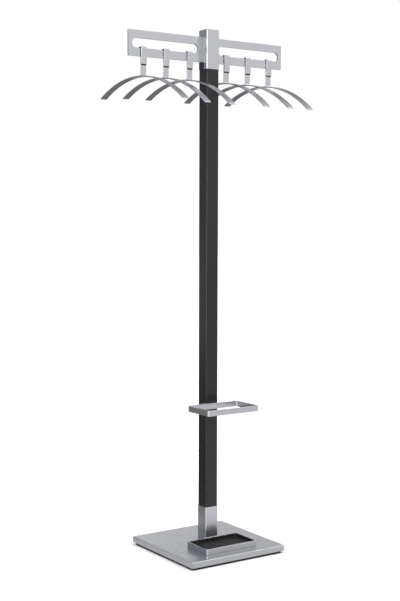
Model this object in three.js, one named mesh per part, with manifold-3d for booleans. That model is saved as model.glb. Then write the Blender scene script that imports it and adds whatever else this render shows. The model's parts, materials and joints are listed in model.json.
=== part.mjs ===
// A free-standing coat rack: a square post on a heavy square base, a slotted rail across its head,
// six captive bar hangers that slide along the rail, and a hoop and drip tray for umbrellas.
// Millimetres. +X runs along the rail, -Y is the front with the umbrella hoop, +Z is up.
// The origin is the centre of the underside of the base, on the floor below the post's axis.
import * as THREE from 'three';
import { mergeVertices } from 'three/addons/utils/BufferGeometryUtils.js';
import Module from 'manifold-3d';

const wasm = await Module();
wasm.setup();

// Driving dimensions
const totalHeight = 1853.2;
const gap = 0.3; // clearance between pieces that touch
const reach = 1; // how far a cutting shape runs past the face it cuts
const holeSegments = 7; // half the number of sides of a round hole in an outline
const fastenerSides = 12;

const base = { side: 396, top: 29.2, skirt: 8.5, sheet: 1.5, corner: 3, bend: 2.5, seam: 0.8, seamDepth: 12 };
const relief = { radius: 1.5, inset: 7, height: 15.2 }; // small holes near the ends of two skirts
const mat = { inset: 5, thickness: 8.2, corner: 14 };
const ballast = { side: 386, thickness: 10, corner: 4, counterbore: 7 };
const board = { side: 390, corner: 3 };

const post = { side: 50, wall: 2, corner: 3 };
const sleeve = { wall: 1.2, footTop: 158.8, headBottom: 1716.4, keeperFront: -8 };
const postInsertHeight = 60;
const baseBolt = { shank: 4, length: 62, head: 7, headHeight: 4.6, socket: 3 };
const washer = { outer: 9, inner: 4.6, thickness: 1.5 };

const rail = { length: 650, height: 88, thickness: 8, front: 4.5, bottom: 1741.3, corner: 3 };
const slot = { inner: 43, outer: 311, height: 32, bottom: 28.8 };
const railBolt = { shank: 2.5, tip: -18, head: 5, headHeight: 2.6, socket: 1.6, heights: [22, 67] };
const cap = { thickness: 2, plug: 10 };

const hoop = { width: 216, depth: 133, wall: 4, corner: 10, front: -162, bottom: 515, height: 21 };
const spacer = { width: 36, height: 20, corner: 2 };
const hoopScrew = { shank: 2.5, length: 14, head: 4.5, headHeight: 2.2, socket: 1.5, offset: 9 };

const tray = { width: 214.5, depth: 126, wall: 3, floor: 1.5, corner: 4, height: 19.6, clearance: 0.7 };
const traySink = 1.8; // how far the insert's rim lies below the rim of its frame
const insert = { wall: 2.5, floor: 2, lift: 4, corner: 13, rib: 2.4, ribRise: 1.4, ribs: 7 };
const trayScrew = { shank: 2, length: 9, head: 4, headHeight: 2, socket: 1.2, offset: 60 };

const hanger = {
  // Each hanger's place along the rail, and in degrees how it leans back and how it is turned
  poses: [
    { x: -268, lean: -0.6, turn: 0.7 },
    { x: -176, lean: 1, turn: 0.2 },
    { x: -78.5, lean: 1.2, turn: 0.5 },
    { x: 78.5, lean: 1, turn: -2.4 },
    { x: 172, lean: 1, turn: -0.5 },
    { x: 266, lean: 1.1, turn: -2 },
  ],
  strip: 22.5,
  thickness: 3,
  frontLeg: 54.4,
  backLeg: 22,
  outerBend: 4,
  innerBend: 1,
  stemTop: 31.5,
  apex: 93,
  armWidth: 25,
  armThickness: 4,
  armRadius: 510,
  halfAngle: THREE.MathUtils.degToRad(31.5),
  armTilt: THREE.MathUtils.degToRad(5.1), // the arms slope down towards the front
  slack: 0.8,
};
const liner = { thickness: 1, below: 4 };
const rivet = { radius: 3, blind: 1.8, head: 5, headHeight: 1.8, place: 44 };

// Values that follow from them
const half = (value) => value / 2;
const ballastBottom = mat.thickness + gap;
const ballastTop = ballastBottom + ballast.thickness;
const boardBottom = ballastTop + gap;
const coverUnderside = base.top - base.sheet;
const postBottom = base.top + gap;
const postTop = rail.bottom - gap;
const sleeveInner = post.side + 2 * gap;
const sleeveOuter = sleeveInner + 2 * sleeve.wall;
const sleeveCorner = post.corner + gap + sleeve.wall;
const railBack = rail.front + rail.thickness;
const railTop = rail.bottom + rail.height;
const slotBottom = rail.bottom + slot.bottom;
const capBottom = totalHeight - cap.thickness;
const coreTop = capBottom - cap.plug - gap;
const hoopBack = hoop.front + hoop.depth;
const hoopMiddle = hoop.bottom + half(hoop.height);
const trayBack = -half(sleeveOuter) - tray.clearance;
const trayMiddle = trayBack - half(tray.depth);
const trayBottom = base.top + gap;
const insertBottom = trayBottom + tray.floor + gap;
const insertTop = trayBottom + tray.height - traySink;
const insertWidth = tray.width - 2 * tray.wall - 2 * gap;
const insertDepth = tray.depth - 2 * tray.wall - 2 * gap;
const mostLean = THREE.MathUtils.degToRad(Math.max(...hanger.poses.map((pose) => pose.lean)));
const linerFront = slot.bottom * Math.tan(mostLean) + hanger.slack;
const linerBack = rail.thickness + hanger.slack;
const linerTop = gap + liner.thickness;
const linerBend = hanger.innerBend - gap;
const frontPlay = linerFront + liner.thickness + gap;
const backPlay = linerBack + liner.thickness + gap;
const saddleInnerTop = linerTop + gap;

// Materials
const metal = (color, roughness) => new THREE.MeshStandardMaterial({ color, roughness, metalness: 0.8 });
const plain = (color, roughness) => new THREE.MeshStandardMaterial({ color, roughness, metalness: 0 });
const satinSilver = metal(0xb6babf, 0.38);
const baseSilver = metal(0xb0b5ba, 0.42);
const zincSteel = metal(0x9a9ca0, 0.4);
const blackPaint = plain(0x242527, 0.45);
const blackPlastic = plain(0x1c1c1e, 0.6);
const blackRubber = plain(0x161617, 0.85);
const fibreBoard = plain(0x8a6f4c, 0.9);

const rack = new THREE.Group();

function addPiece(parent, name, geometry, material) {
  const mesh = new THREE.Mesh(geometry, material);
  mesh.name = name;
  parent.add(mesh);
}

// Solids for cuts and joins
function toSolid(geometry) {
  const bare = geometry.clone();
  bare.deleteAttribute('normal');
  bare.deleteAttribute('uv');
  const merged = mergeVertices(bare, 1e-4);
  return new wasm.Manifold(new wasm.Mesh({
    numProp: 3,
    vertProperties: new Float32Array(merged.attributes.position.array),
    triVerts: new Uint32Array(merged.index.array),
  }));
}

function toGeometry(solid) {
  const mesh = solid.getMesh();
  const geometry = new THREE.BufferGeometry();
  geometry.setAttribute('position', new THREE.BufferAttribute(new Float32Array(mesh.vertProperties), 3));
  geometry.setIndex(new THREE.BufferAttribute(new Uint32Array(mesh.triVerts), 1));
  return geometry;
}

function cut(geometry, tools) {
  return toGeometry(tools.reduce((solid, tool) => solid.subtract(toSolid(tool)), toSolid(geometry)));
}

function join(geometry, extras) {
  return toGeometry(extras.reduce((solid, extra) => solid.add(toSolid(extra)), toSolid(geometry)));
}

// Outlines and simple shapes
function roundedOutline(width, height, radius, x = 0, y = 0) {
  const right = x + half(width) - radius;
  const left = x - half(width) + radius;
  const top = y + half(height) - radius;
  const bottom = y - half(height) + radius;
  const outline = new THREE.Shape();
  outline.absarc(right, bottom, radius, -Math.PI / 2, 0, false);
  outline.absarc(right, top, radius, 0, Math.PI / 2, false);
  outline.absarc(left, top, radius, Math.PI / 2, Math.PI, false);
  outline.absarc(left, bottom, radius, Math.PI, 1.5 * Math.PI, false);
  outline.closePath();
  return outline;
}

function roundHole(radius, x, y) {
  const hole = new THREE.Path();
  hole.absarc(x, y, radius, 0, 2 * Math.PI, true);
  return hole;
}

function prism(outline, bottom, top, curveSegments = 3) {
  const settings = { depth: top - bottom, bevelEnabled: false, curveSegments };
  return new THREE.ExtrudeGeometry(outline, settings).translate(0, 0, bottom);
}

function block(lowX, highX, lowY, highY, lowZ, highZ) {
  const geometry = new THREE.BoxGeometry(highX - lowX, highY - lowY, highZ - lowZ);
  return geometry.translate(half(lowX + highX), half(lowY + highY), half(lowZ + highZ));
}

function rodAlongY(radius, lowY, highY, x, z) {
  const geometry = new THREE.CylinderGeometry(radius, radius, highY - lowY, 20);
  return geometry.translate(x, half(lowY + highY), z);
}

function rodAlongZ(radius, lowZ, highZ, x = 0, y = 0) {
  const geometry = new THREE.CylinderGeometry(radius, radius, highZ - lowZ, 24).rotateX(Math.PI / 2);
  return geometry.translate(x, y, half(lowZ + highZ));
}

function squareTube(outer, inner, outerCorner, innerCorner, bottom, top) {
  const outline = roundedOutline(outer, outer, outerCorner);
  outline.holes.push(roundedOutline(inner, inner, innerCorner));
  return prism(outline, bottom, top);
}

// A plate that stands upright: the outline's x stays X, its y becomes Z, and it is thick along Y
function uprightPlate(outline, front, back, curveSegments = 6) {
  return prism(outline, 0, back - front, curveSegments).rotateX(Math.PI / 2).translate(0, back, 0);
}

// A strip seen from its edge: the outline's x becomes Y, its y becomes Z, and it is wide along X
function strip(outline, width, curveSegments) {
  const upright = new THREE.Matrix4().makeBasis(
    new THREE.Vector3(0, 1, 0),
    new THREE.Vector3(0, 0, 1),
    new THREE.Vector3(1, 0, 0),
  );
  return prism(outline, -half(width), half(width), curveSegments).applyMatrix4(upright);
}

// A screw or rivet along +Y's axis: its head rises from y = 0 and its shank runs down to -length
function fastener({ shank, length, head, headHeight, socket }) {
  const rimHeight = 0.4 * headHeight;
  const crown = 0.7 * head;
  const profile = [[0, -length], [shank, -length], [shank, 0], [head, 0], [head, rimHeight]];
  profile.push([crown, headHeight]);
  if (socket) {
    profile.push([socket, headHeight], [socket, rimHeight], [0, rimHeight]);
  } else {
    profile.push([0, headHeight]);
  }
  const points = profile.map(([radius, y]) => new THREE.Vector2(radius, y));
  return new THREE.LatheGeometry(points, fastenerSides);
}

// Base: rubber mat, steel ballast, board and folded sheet cover
function buildBase() {
  const matSide = base.side - 2 * mat.inset;
  const matOutline = roundedOutline(matSide, matSide, mat.corner);
  addPiece(rack, 'floor_mat', prism(matOutline, 0, mat.thickness), blackRubber);

  const boltHole = baseBolt.shank + gap;
  const counterboreTop = ballastBottom + ballast.counterbore;
  const ballastOutline = roundedOutline(ballast.side, ballast.side, ballast.corner);
  ballastOutline.holes.push(roundHole(boltHole, 0, 0));
  addPiece(rack, 'ballast_plate', cut(prism(ballastOutline, ballastBottom, ballastTop, holeSegments), [
    rodAlongZ(washer.outer + gap, ballastBottom - reach, counterboreTop),
  ]), zincSteel);

  const washerOutline = new THREE.Shape();
  washerOutline.absarc(0, 0, washer.outer, 0, 2 * Math.PI, false);
  washerOutline.holes.push(roundHole(washer.inner, 0, 0));
  const washerTop = counterboreTop - gap;
  addPiece(rack, 'base_washer', prism(washerOutline, washerTop - washer.thickness, washerTop, holeSegments),
    zincSteel);

  const boltHead = washerTop - washer.thickness - gap;
  const bolt = fastener(baseBolt).rotateX(-Math.PI / 2).translate(0, 0, boltHead);
  addPiece(rack, 'base_bolt', bolt, zincSteel);

  const trayHoles = () => [-trayScrew.offset, trayScrew.offset].map((x) => (
    rodAlongZ(trayScrew.shank + gap, ballastTop, base.top + reach, x, trayMiddle)
  ));
  const boardOutline = roundedOutline(board.side, board.side, board.corner);
  boardOutline.holes.push(roundHole(boltHole, 0, 0));
  const boardBlank = prism(boardOutline, boardBottom, coverUnderside - gap, holeSegments);
  addPiece(rack, 'base_board', cut(boardBlank, trayHoles()), fibreBoard);

  const outerBlock = new THREE.ExtrudeGeometry(roundedOutline(base.side, base.side, base.corner), {
    depth: base.top - base.bend,
    curveSegments: 2,
    bevelThickness: base.bend,
    bevelSize: base.bend,
    bevelOffset: -base.bend,
    bevelSegments: 3,
  });
  const hollowSide = base.side - 2 * base.sheet;
  const cornerReach = half(base.side) * Math.SQRT2 + reach;
  const seams = [0, 1, 2, 3].map((quarter) => (
    block(cornerReach - base.seamDepth, cornerReach, -half(base.seam), half(base.seam),
      0, coverUnderside - base.bend)
      .rotateZ(Math.PI / 4 + quarter * Math.PI / 2)
  ));
  const reliefHoles = [-1, 1].map((side) => (
    rodAlongY(relief.radius, -base.side, base.side, side * (half(base.side) - relief.inset), relief.height)
  ));
  addPiece(rack, 'base_cover', cut(outerBlock, [
    block(-base.side, base.side, -base.side, base.side, -base.side, base.skirt),
    prism(roundedOutline(hollowSide, hollowSide, 1.5), 0, coverUnderside),
    rodAlongZ(boltHole, 0, base.top + reach),
    ...trayHoles(),
    ...seams,
    ...reliefHoles,
  ]), baseSilver);
}

// Post: square tube with a threaded block in its foot, and a thin sleeve round its foot
function buildPost() {
  const inner = post.side - 2 * post.wall;
  const innerCorner = post.corner - post.wall;
  const tube = squareTube(post.side, inner, post.corner, innerCorner, postBottom, postTop);
  const holes = [-hoopScrew.offset, hoopScrew.offset].map((x) => (
    rodAlongY(hoopScrew.shank + gap, -half(post.side) - reach, -half(inner) + reach, x, hoopMiddle)
  ));
  addPiece(rack, 'post_tube', cut(tube, holes), blackPaint);

  const blockSide = inner - 2 * gap;
  const blockOutline = roundedOutline(blockSide, blockSide, innerCorner);
  blockOutline.holes.push(roundHole(baseBolt.shank + gap, 0, 0));
  const threadedBlock = prism(blockOutline, postBottom, postBottom + postInsertHeight, holeSegments);
  addPiece(rack, 'post_insert', threadedBlock, zincSteel);

  const footSleeve = squareTube(sleeveOuter, sleeveInner, sleeveCorner, post.corner + gap, postBottom,
    sleeve.footTop);
  addPiece(rack, 'foot_sleeve', footSleeve, satinSilver);
}

// Head: sleeve with a slot in both sides for the rail, and what holds the rail inside it
function buildHead() {
  const inner = half(sleeveInner);
  const outer = half(sleeveOuter);
  const cutBottom = sleeve.headBottom - reach;
  const boltHeights = railBolt.heights.map((height) => rail.bottom + height);
  const boltHoles = (low, high) => boltHeights.map((z) => rodAlongY(railBolt.shank + gap, low, high, 0, z));

  const shell = squareTube(sleeveOuter, sleeveInner, sleeveCorner, post.corner + gap, sleeve.headBottom,
    capBottom - gap);
  addPiece(rack, 'head_sleeve', cut(shell, [
    block(-sleeveOuter, sleeveOuter, rail.front - gap, railBack + gap, cutBottom, railTop + gap),
    block(-sleeveOuter, sleeveOuter, sleeve.keeperFront, sleeveOuter, cutBottom, rail.bottom),
    ...boltHoles(inner - reach, outer + reach),
  ]), satinSilver);

  const collar = squareTube(sleeveOuter, sleeveInner, sleeveCorner, post.corner + gap, sleeve.headBottom,
    rail.bottom - gap);
  addPiece(rack, 'rail_keeper', cut(collar, [
    block(-sleeveOuter, sleeveOuter, -sleeveOuter, sleeve.keeperFront + gap, 0, totalHeight),
  ]), blackPlastic);

  const railMiddle = half(rail.bottom + railTop);
  const railOutline = roundedOutline(rail.length, rail.height, rail.corner, 0, railMiddle);
  const slotMiddle = slotBottom + half(slot.height);
  for (const side of [-1, 1]) {
    const slotLength = slot.outer - slot.inner;
    const slotX = side * half(slot.outer + slot.inner);
    railOutline.holes.push(roundedOutline(slotLength, slot.height, half(slot.height), slotX, slotMiddle));
  }
  for (const z of boltHeights) {
    railOutline.holes.push(roundHole(railBolt.shank + gap, 0, z));
  }
  addPiece(rack, 'rail', uprightPlate(railOutline, rail.front, railBack), satinSilver);

  const coreSide = half(post.side);
  const coreOutline = roundedOutline(post.side, post.side, post.corner);
  const core = prism(coreOutline, rail.bottom, coreTop);
  addPiece(rack, 'rail_core', cut(core, [
    block(-sleeveOuter, sleeveOuter, rail.front - gap, sleeveOuter, 0, totalHeight),
    ...boltHoles(railBolt.tip - reach, rail.front),
  ]), blackPlastic);
  addPiece(rack, 'rail_clamp', cut(core, [
    block(-sleeveOuter, sleeveOuter, -sleeveOuter, railBack + gap, 0, totalHeight),
    ...boltHoles(railBack, coreSide + reach),
  ]), blackPlastic);

  boltHeights.forEach((z, index) => {
    const bolt = fastener({ ...railBolt, length: outer + gap - railBolt.tip }).translate(0, outer + gap, z);
    addPiece(rack, `rail_bolt_${index + 1}`, bolt, zincSteel);
  });

  const plug = prism(coreOutline, capBottom - cap.plug, capBottom + half(cap.thickness));
  const lid = prism(roundedOutline(sleeveOuter, sleeveOuter, sleeveCorner), capBottom, totalHeight);
  addPiece(rack, 'head_cap', join(lid, [plug]), satinSilver);
}

// Umbrella hoop, held off the post by a spacer and two screws
function buildHoop() {
  const hoopTop = hoop.bottom + hoop.height;
  const middle = hoop.front + half(hoop.depth);
  const wallFront = hoopBack - hoop.wall;
  const screws = [-hoopScrew.offset, hoopScrew.offset];
  const holeRadius = hoopScrew.shank + gap;
  const outline = roundedOutline(hoop.width, hoop.depth, hoop.corner, 0, middle);
  const innerWidth = hoop.width - 2 * hoop.wall;
  const innerDepth = hoop.depth - 2 * hoop.wall;
  outline.holes.push(roundedOutline(innerWidth, innerDepth, hoop.corner - hoop.wall, 0, middle));
  addPiece(rack, 'umbrella_hoop', cut(prism(outline, hoop.bottom, hoopTop, 4), screws.map((x) => (
    rodAlongY(holeRadius, wallFront - reach, hoopBack + reach, x, hoopMiddle)
  ))), satinSilver);

  const spacerBack = -half(post.side) - gap;
  const spacerOutline = roundedOutline(spacer.width, spacer.height, spacer.corner, 0, hoopMiddle);
  for (const x of screws) {
    spacerOutline.holes.push(roundHole(holeRadius, x, hoopMiddle));
  }
  const spacerBlock = uprightPlate(spacerOutline, hoopBack + gap, spacerBack, holeSegments);
  addPiece(rack, 'hoop_spacer', spacerBlock, blackPlastic);

  screws.forEach((x, index) => {
    const screw = fastener(hoopScrew).rotateX(Math.PI).translate(x, wallFront - gap, hoopMiddle);
    addPiece(rack, `hoop_screw_${index + 1}`, screw, zincSteel);
  });
}

// Drip tray: a shallow metal frame screwed to the base, and a plastic insert that lifts out
function buildTray() {
  const frameTop = trayBottom + tray.height;
  const screws = [-trayScrew.offset, trayScrew.offset];
  const outerOutline = roundedOutline(tray.width, tray.depth, tray.corner, 0, trayMiddle);
  const innerWidth = tray.width - 2 * tray.wall;
  const innerDepth = tray.depth - 2 * tray.wall;
  const innerOutline = roundedOutline(innerWidth, innerDepth, tray.corner - tray.wall, 0, trayMiddle);
  addPiece(rack, 'tray_frame', cut(prism(outerOutline, trayBottom, frameTop), [
    prism(innerOutline, trayBottom + tray.floor, frameTop + reach),
    ...screws.map((x) => rodAlongZ(trayScrew.shank + gap, 0, frameTop, x, trayMiddle)),
  ]), satinSilver);

  screws.forEach((x, index) => {
    const screw = fastener(trayScrew).rotateX(Math.PI / 2).translate(x, trayMiddle, insertBottom);
    addPiece(rack, `tray_screw_${index + 1}`, screw, zincSteel);
  });

  const floorBottom = insertBottom + insert.lift;
  const floorTop = floorBottom + insert.floor;
  const shell = prism(roundedOutline(insertWidth, insertDepth, 2.5, 0, trayMiddle), insertBottom, insertTop);
  const hollowWidth = insertWidth - 2 * insert.wall;
  const hollowDepth = insertDepth - 2 * insert.wall;
  const basin = roundedOutline(hollowWidth, hollowDepth, insert.corner, 0, trayMiddle);
  const underside = roundedOutline(hollowWidth, hollowDepth, 2, 0, trayMiddle);
  const open = cut(shell, [
    prism(basin, floorTop, insertTop + reach),
    prism(underside, insertBottom - reach, floorBottom),
  ]);
  const ribPitch = (hollowDepth - 2 * insert.corner) / (insert.ribs - 1);
  const ribLength = hollowWidth - 2 * insert.corner;
  const ribs = [...Array(insert.ribs).keys()].map((index) => {
    const y = trayMiddle + (index - (insert.ribs - 1) / 2) * ribPitch;
    return block(-half(ribLength), half(ribLength), y - half(insert.rib), y + half(insert.rib),
      floorTop - half(insert.floor), floorTop + insert.ribRise);
  });
  addPiece(rack, 'tray_insert', join(open, ribs), blackPlastic);
}

// Hanger: a bent saddle over the slot's lower bar, a stem behind its long leg, and one arched bar.
// Its group's origin is the bar's upper front corner, where the saddle rests.
function buildHanger(pose, number) {
  const group = new THREE.Group();
  const { degToRad } = THREE.MathUtils;
  group.position.set(pose.x, rail.front, slotBottom);
  group.rotation.set(degToRad(pose.lean), 0, degToRad(pose.turn), 'ZYX');
  const name = (piece) => `hanger_${number}_${piece}`;
  const frontInner = -frontPlay;
  const frontOuter = frontInner - hanger.thickness;
  const backOuter = backPlay + hanger.thickness;
  const top = saddleInnerTop + hanger.thickness;

  const saddleOutline = new THREE.Shape();
  saddleOutline.moveTo(frontOuter, -hanger.frontLeg);
  saddleOutline.lineTo(frontInner, -hanger.frontLeg);
  saddleOutline.absarc(frontInner + hanger.innerBend, saddleInnerTop - hanger.innerBend, hanger.innerBend,
    Math.PI, Math.PI / 2, true);
  saddleOutline.absarc(backPlay - hanger.innerBend, saddleInnerTop - hanger.innerBend, hanger.innerBend,
    Math.PI / 2, 0, true);
  saddleOutline.lineTo(backPlay, -hanger.backLeg);
  saddleOutline.lineTo(backOuter, -hanger.backLeg);
  saddleOutline.absarc(backOuter - hanger.outerBend, top - hanger.outerBend, hanger.outerBend,
    0, Math.PI / 2, false);
  saddleOutline.absarc(frontOuter + hanger.outerBend, top - hanger.outerBend, hanger.outerBend,
    Math.PI / 2, Math.PI, false);
  saddleOutline.closePath();
  const rivetHole = rivet.radius + gap;
  const blindEnd = frontInner - rivet.blind;
  addPiece(group, name('saddle'), cut(strip(saddleOutline, hanger.strip, 2), [
    rodAlongY(rivetHole, blindEnd, frontInner + reach, 0, -rivet.place),
  ]), satinSilver);

  const linerOutline = new THREE.Shape();
  linerOutline.moveTo(frontInner + gap, -hanger.frontLeg - liner.below);
  linerOutline.lineTo(-linerFront, -hanger.frontLeg - liner.below);
  linerOutline.lineTo(-linerFront, gap);
  linerOutline.lineTo(linerBack, gap);
  linerOutline.lineTo(linerBack, -hanger.backLeg);
  linerOutline.lineTo(backPlay - gap, -hanger.backLeg);
  linerOutline.absarc(backPlay - gap - linerBend, linerTop - linerBend, linerBend, 0, Math.PI / 2, false);
  linerOutline.absarc(frontInner + gap + linerBend, linerTop - linerBend, linerBend,
    Math.PI / 2, Math.PI, false);
  linerOutline.closePath();
  addPiece(group, name('liner'), cut(strip(linerOutline, hanger.strip, 2), [
    rodAlongY(rivetHole, frontInner, reach - linerFront, 0, -rivet.place),
  ]), blackPlastic);

  const stemFront = gap - linerFront;
  const stemBack = stemFront + hanger.thickness;
  const stem = block(-half(hanger.strip), half(hanger.strip), stemFront, stemBack,
    -hanger.apex + gap, -hanger.stemTop);
  addPiece(group, name('stem'), cut(stem, [
    rodAlongY(rivetHole, stemFront - reach, stemBack + reach, 0, -rivet.place),
  ]), satinSilver);

  const pin = fastener({
    shank: rivet.radius,
    length: stemBack - blindEnd,
    head: rivet.head,
    headHeight: rivet.headHeight,
  });
  addPiece(group, name('rivet'), pin.translate(0, stemBack + gap, -rivet.place), zincSteel);

  const middle = half(stemFront + stemBack);
  const left = Math.PI / 2 + hanger.halfAngle;
  const right = Math.PI / 2 - hanger.halfAngle;
  const armOutline = new THREE.Shape();
  armOutline.absarc(0, -hanger.armRadius, hanger.armRadius, right, left, false);
  armOutline.absarc(0, -hanger.armRadius, hanger.armRadius - hanger.armThickness, left, right, true);
  armOutline.closePath();
  const arms = strip(armOutline, hanger.armWidth, 14);
  arms.rotateX(hanger.armTilt).translate(0, middle, -hanger.apex);
  addPiece(group, name('arms'), arms, satinSilver);

  rack.add(group);
}

buildBase();
buildPost();
buildHead();
buildHoop();
buildTray();
hanger.poses.forEach((pose, index) => buildHanger(pose, index + 1));

export default rack;
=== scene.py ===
"""The looks of a standing coat rack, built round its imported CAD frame.

Metres. +X runs along the head rail, -Y is the front with the umbrella hoop, +Z is up, and the
origin is on the floor under the post. Each fine piece stands for the CAD node that it is named after:
its place and outer size come from that node's box, and the sizes below add what a box can't tell.
"""
import json
import math

import bmesh
import bpy
from mathutils import Euler, Matrix, Vector

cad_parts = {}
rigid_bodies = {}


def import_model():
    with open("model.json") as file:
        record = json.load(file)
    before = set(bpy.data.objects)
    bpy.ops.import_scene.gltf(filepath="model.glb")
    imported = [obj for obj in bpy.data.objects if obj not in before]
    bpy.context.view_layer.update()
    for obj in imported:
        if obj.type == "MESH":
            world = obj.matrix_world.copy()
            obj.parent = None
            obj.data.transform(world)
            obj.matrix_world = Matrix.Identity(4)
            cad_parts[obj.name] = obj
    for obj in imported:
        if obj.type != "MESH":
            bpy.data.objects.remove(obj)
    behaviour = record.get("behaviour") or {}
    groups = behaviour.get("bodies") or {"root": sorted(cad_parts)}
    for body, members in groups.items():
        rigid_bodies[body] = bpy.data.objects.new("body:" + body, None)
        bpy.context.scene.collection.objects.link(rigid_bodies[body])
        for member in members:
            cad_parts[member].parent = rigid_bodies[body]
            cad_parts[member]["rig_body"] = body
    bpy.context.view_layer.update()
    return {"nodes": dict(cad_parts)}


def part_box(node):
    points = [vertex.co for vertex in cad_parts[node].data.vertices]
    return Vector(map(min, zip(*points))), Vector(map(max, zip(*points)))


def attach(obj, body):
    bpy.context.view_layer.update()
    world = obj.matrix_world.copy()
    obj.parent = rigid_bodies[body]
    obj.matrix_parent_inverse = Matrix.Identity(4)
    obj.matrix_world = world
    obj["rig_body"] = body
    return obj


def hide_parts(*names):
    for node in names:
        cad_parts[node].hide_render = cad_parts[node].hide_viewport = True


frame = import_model()

# Camera: a long lens a few metres away, which looks at the front from the rack's left
CAMERA_YAW = math.radians(34.0)
CAMERA_PITCH = math.radians(-3.94)
CAMERA_ROLL = math.radians(-0.14)
CAMERA_DISTANCE = 4.037
CAMERA_SIDE = -0.0303
CAMERA_HEIGHT = 1.1796
LENS = 67.807  # millimetres, for a picture whose longer side is SENSOR
SENSOR = 36.0

# Studio: the camera sees plain white, the rack mirrors walls and a floor that are not white all over
BRIGHT_WALL = (1.0, 1.0, 1.02)
DARK_WALL = (0.36, 0.37, 0.43)
DARK_SIDE = (-0.62, 0.78, 0.05)
DARK_REACH = (0.45, 0.9)
DIM_WALL = (0.30, 0.30, 0.31)
DIM_SIDE = (0.555, 0.60, 0.576)
DIM_SIDE_REACH = (0.915, 0.985)
BRIGHT_FLOOR = (0.80, 0.80, 0.80)
DIM_FLOOR = (0.22, 0.225, 0.21)
DIM_PATCH = (1.0, 4.5, 0.0)
DIM_REACH = (4.35, 4.8)
# the mirrored floor round the base is one grey, a painted shade that dims the bright floor in front of and
# beside the base
BASE_SHADE_FLOOR = (0.62, 0.62, 0.63)
BASE_SHADE_REACH = (0.30, 0.50)
# The floor's glow is painted light that the camera sees; it fades out near the base, which paints a shadow
# round it
GLOW_REACH = (0.35, 1.2)
FLOOR_GLOW = 0.5
FLOOR_REACH = 30.0
VIEW_REACH = 60.0
RACK_MIDDLE = (0.0, 0.0, 1.0)
RACK_LOWER = (0.0, 0.0, 0.5)

# Sizes that the boxes don't give
GAP = 0.0003
TOOL_REACH = 0.001  # how far a cutting block sticks out of what it cuts
POST_CORNER = 0.003
SLEEVE_CORNER = 0.0045
SLEEVE_WALL = 0.0012
SLEEVE_END = 0.0004
TUBE_WALL = 0.002
TUBE_END = 0.0003
CAP_ROUNDING = 0.0006
HIDDEN_ROUNDING = 0.0003
KEEPER_FRONT = -0.008
SLOT_INNER = 0.043
SLOT_OUTER = 0.311
SLOT_HEIGHT = 0.032
SLOT_BOTTOM = 0.0288
RAIL_CORNER = 0.003
RAIL_ROUNDING = 0.0007
HOOP_WALL = 0.004
HOOP_CORNER = 0.010
HOOP_ROUNDING = 0.0008
SPACER_CORNER = 0.002
SPACER_ROUNDING = 0.0005
TRAY_WALL = 0.003
TRAY_FLOOR = 0.0015
TRAY_CORNER = 0.004
TRAY_EDGE = 0.0006
TRAY_FLAT = 0.02  # how far in from its sides the flat of its floor starts
INSERT_WALL = 0.0025
INSERT_LIFT = 0.004
INSERT_FLOOR = 0.002
INSERT_BASIN_CORNER = 0.013
INSERT_CORNER = 0.0025
INSERT_TAPER = 0.001
INSERT_EDGE = 0.0007
INSERT_FLAT = 0.03
SKIRT_SHARE = 0.7  # of the thickness of its wall
RIBS = 7
RIB_WIDTH = 0.0024
RIB_RISE = 0.0014
LUGS = (-0.021, 0.005)
LUG_WIDTH = 0.004
LUG_DEPTH = 0.003
LUG_BELOW_RIM = 0.003
MAT_CORNER = 0.014
MAT_ROUNDING = 0.0008
COVER_CORNER = 0.003
COVER_SHEET = 0.0015
COVER_BEND = 0.0025
COVER_LIP = 0.0004
SEAM_WIDTH = 0.0008
SEAM_DEPTH = 0.012
RELIEF_RADIUS = 0.0015
RELIEF_INSET = 0.007
RELIEF_HEIGHT = 0.0152
HANGERS = [  # place along the rail, and in degrees how each leans back and how it is turned
    (-0.268, -0.6, 0.7), (-0.176, 1.0, 0.2), (-0.0785, 1.2, 0.5),
    (0.0785, 1.0, -2.4), (0.172, 1.0, -0.5), (0.266, 1.1, -2.0),
]
MOST_LEAN = math.radians(1.2)
HANGER_SLACK = 0.0008
STRIP_WIDTH = 0.0225
STRIP_THICKNESS = 0.003
STRIP_ROUNDING = 0.0011
OUTER_BEND = 0.004
INNER_BEND = 0.001
FRONT_LEG = 0.0544
BACK_LEG = 0.022
LINER_THICKNESS = 0.001
# how far the liner's black front end reaches below the saddle's leg, where it is painted shade for the shadow
# under the leg's end
LINER_SHADE_BELOW = 0.004
STEM_TOP = 0.0315
HANGER_APEX = 0.093
WELD = 0.0018
WELD_FOOT = 0.0006
WELD_OVERLAP = 0.0004
ARM_WIDTH = 0.025
ARM_THICKNESS = 0.004
ARM_RADIUS = 0.510
ARM_HALF_ANGLE = math.radians(31.5)
ARM_TILT = math.radians(5.1)
ARM_ROUNDING = 0.0012
LINER_ROUNDING = 0.0002
STRIP_CORNER = STRIP_ROUNDING * 1.1  # a CORNER rounds an outline, a ROUNDING its long edges
ARM_CORNER = 0.0013
LINER_CORNER = 0.00025

TIGHT_BEND = 0.0065  # a bend of a smaller radius than this wears like an edge
SHARP_TURN = math.radians(25)
SIDE_PER_CUT = 2.2  # a side is at least this many times as long as what one rounding takes from it
SMALLEST_CORNER = 0.0002
QUARTER = math.pi / 2


# ---------------------------------------------------------------- outlines
def arc(centre, radius, start, end, steps):
    """Points on a circle from one angle to another, both ends included."""
    angles = [start + (end - start) * step / steps for step in range(steps + 1)]
    return [Vector((centre[0] + radius * math.cos(a), centre[1] + radius * math.sin(a))) for a in angles]


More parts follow.
